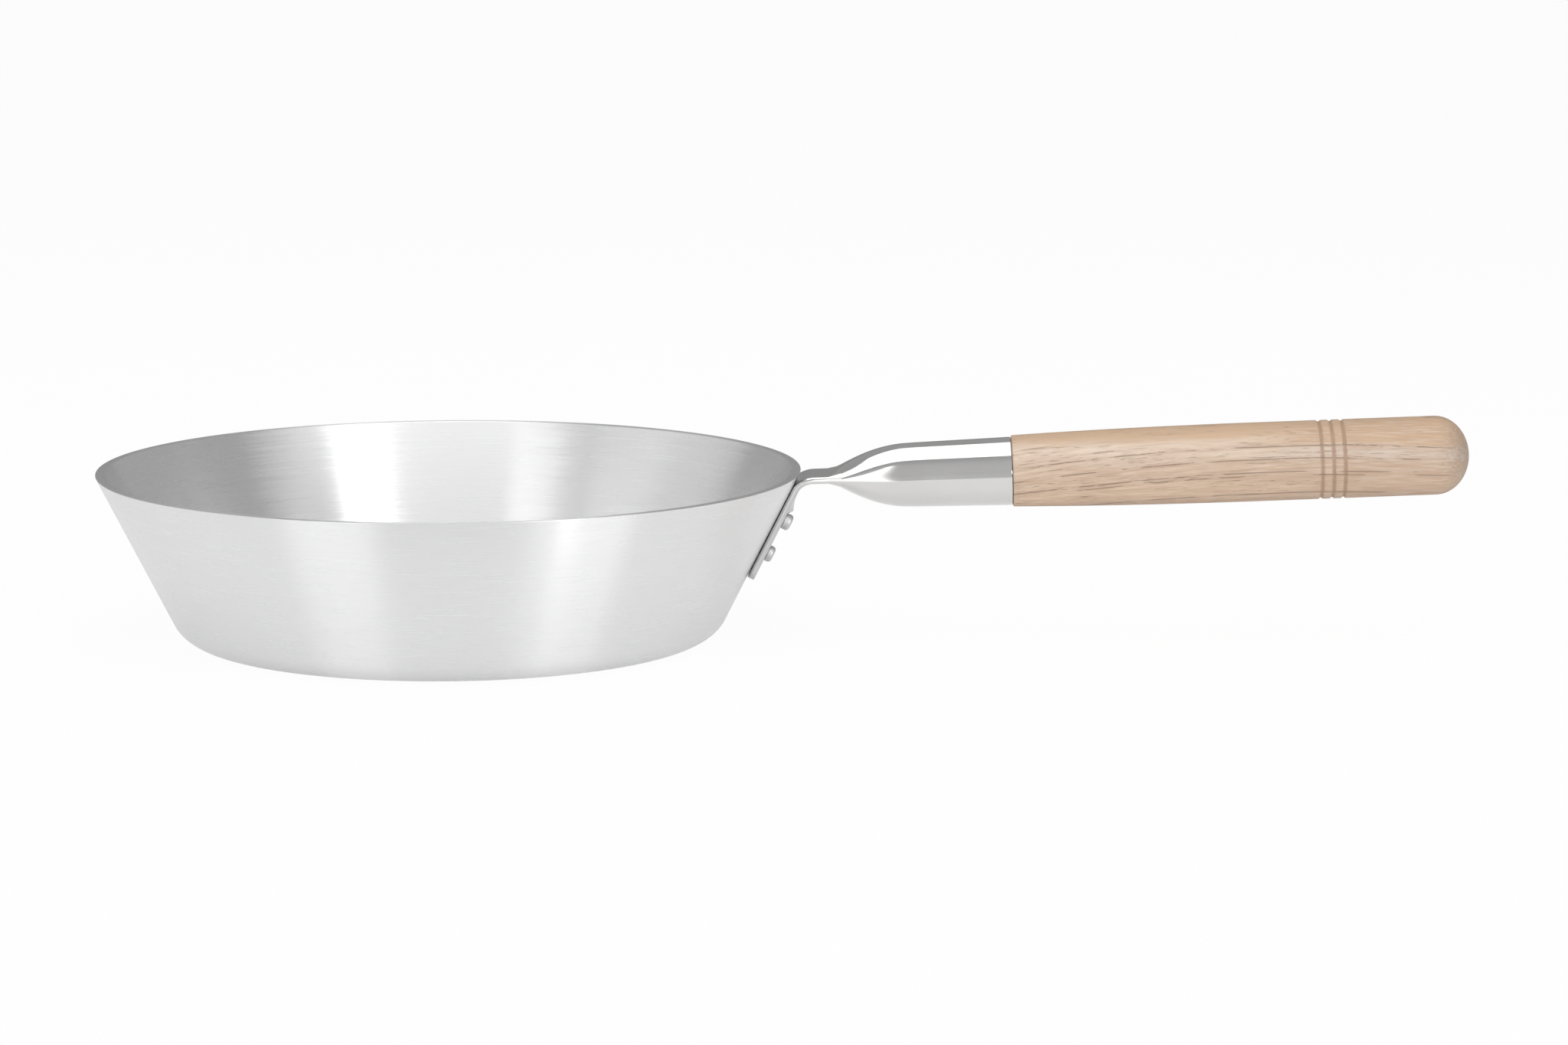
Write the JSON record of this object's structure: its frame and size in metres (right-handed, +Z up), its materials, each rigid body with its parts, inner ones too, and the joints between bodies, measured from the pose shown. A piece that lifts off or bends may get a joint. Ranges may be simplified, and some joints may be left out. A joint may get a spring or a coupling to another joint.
{
  "type": "frying pan",
  "caption": "Open aluminium frying pan with a flat base, a straight leaning wall and a long handle: a flattened steel tube riveted to the wall, with a turned wooden grip in its socket.",
  "frame": {"origin": "centre of the base's underside, on the surface that the pan stands on", "axes": "+Z up through the middle of the bowl, +X along the handle away from the bowl, +Y to the left of the handle"},
  "size_m": [0.5453, 0.2796, 0.0886],
  "materials": {
    "spun_aluminium": "satin, brushed round the bowl by spinning",
    "polished_steel": "bright polished",
    "rivet_aluminium": "satin",
    "pale_wood": "sanded, thinly sealed, fine dark pores along the grain",
    "pin_steel": "plain"
  },
  "bodies": {
    "root": {"pan_body": "spun_aluminium", "handle_tube": "polished_steel", "rivet_upper": "rivet_aluminium", "rivet_lower": "rivet_aluminium", "wood_grip": "pale_wood", "grip_pin": "pin_steel"}
  },
  "joints": []
}
